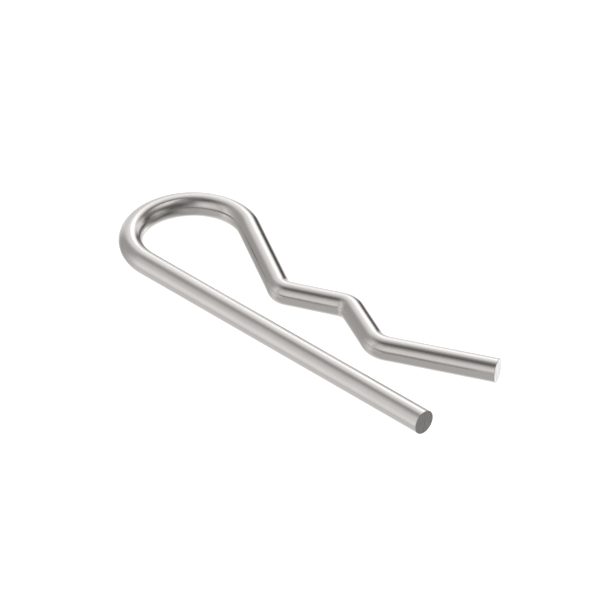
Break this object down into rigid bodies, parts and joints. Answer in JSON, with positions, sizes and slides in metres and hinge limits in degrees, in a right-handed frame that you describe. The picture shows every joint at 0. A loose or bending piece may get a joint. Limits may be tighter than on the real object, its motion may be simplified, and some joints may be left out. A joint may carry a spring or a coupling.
{
  "type": "hitch pin clip",
  "caption": "Flat R clip bent from round spring wire: the straight leg goes through a pin's cross hole and the wavy leg snaps over the pin.",
  "frame": {"origin": "on the straight leg's axis, under the middle of the hump, where the axis of the fitted pin crosses it", "axes": "+X along the straight leg towards its cut end, +Y from the straight leg towards the wavy leg, +Z square to the flat of the clip, along the fitted pin"},
  "size_m": [0.0744, 0.0241, 0.004],
  "materials": {
    "spring_wire": "satin-bright drawn wire"
  },
  "bodies": {
    "root": {"r_clip": "spring_wire"}
  },
  "joints": []
}
